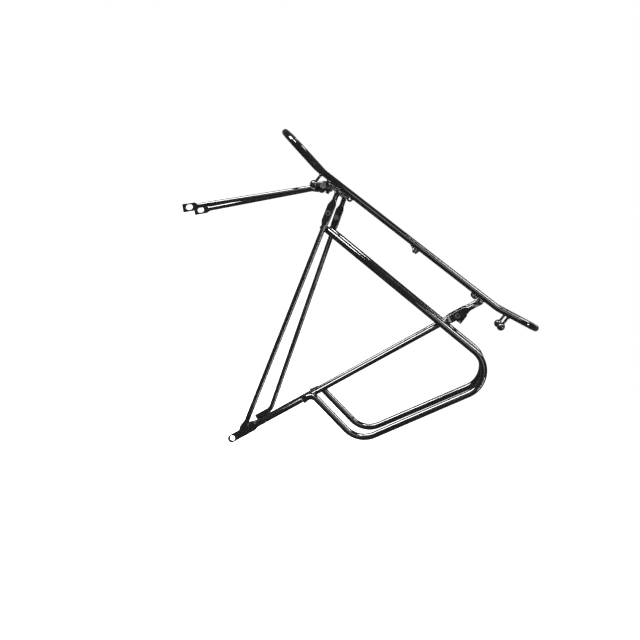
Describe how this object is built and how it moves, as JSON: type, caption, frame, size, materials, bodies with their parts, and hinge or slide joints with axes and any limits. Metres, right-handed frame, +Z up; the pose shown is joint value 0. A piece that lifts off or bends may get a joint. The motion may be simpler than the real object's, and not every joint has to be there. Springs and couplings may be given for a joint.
{
  "type": "bicycle rear carrier",
  "caption": "Welded tubular rear carrier for a bicycle: platform with upturned ends, side struts, low rails for side bags, strap hooks and two swinging front stays.",
  "frame": {"origin": "midway between the two dropout eyes, on their common axis", "axes": "+X to the rear of the bicycle along the platform, +Y to the bicycle's right, +Z up"},
  "size_m": [0.5297, 0.1574, 0.416],
  "materials": {
    "black_paint": "gloss black powder coat over steel tube and rod",
    "boss_steel": "black coated steel boss with a clean thread",
    "black_plastic": "gloss black moulded nylon ball",
    "zinc_plated_steel": "bright zinc plated fastener"
  },
  "bodies": {
    "rack_frame": {"front_bridge": "black_paint", "front_ear": "black_paint", "left_deck_rod": "black_paint", "left_front_boss": "boss_steel", "left_front_hook_ball": "black_plastic", "left_front_hook_rod": "black_paint", "left_front_strut": "black_paint", "left_low_rail": "black_paint", "left_rear_boss": "boss_steel", "left_rear_hook_ball": "black_plastic", "left_rear_hook_rod": "black_paint", "left_rear_strut": "black_paint", "left_stay_bolt": "zinc_plated_steel", "mid_lugs": "black_paint", "platform_loop": "black_paint", "rear_bridge": "black_paint", "rear_ears": "black_paint", "rear_lamp_tab": "black_paint", "right_deck_rod": "black_paint", "right_front_boss": "boss_steel", "right_front_hook_ball": "black_plastic", "right_front_hook_rod": "black_paint", "right_front_strut": "black_paint", "right_low_rail": "black_paint", "right_rear_boss": "boss_steel", "right_rear_hook_ball": "black_plastic", "right_rear_hook_rod": "black_paint", "right_rear_strut": "black_paint", "right_stay_bolt": "zinc_plated_steel", "stay_bracket": "black_paint", "stay_cross_rod": "black_paint", "stay_nuts": "zinc_plated_steel", "stay_washers": "zinc_plated_steel"},
    "left_front_stay": {"left_stay": "black_paint"},
    "right_front_stay": {"right_stay": "black_paint"}
  },
  "joints": [
    {"name": "left_stay_pivot", "type": "hinge", "parent": "rack_frame", "child": "left_front_stay", "pos_m": [-0.1272, -0.015, 0.3766], "axis": [0, 1, 0], "range_deg": [-100, 47]},
    {"name": "right_stay_pivot", "type": "hinge", "parent": "rack_frame", "child": "right_front_stay", "pos_m": [-0.1272, 0.015, 0.3766], "axis": [0, 1, 0], "range_deg": [-100, 47]}
  ]
}
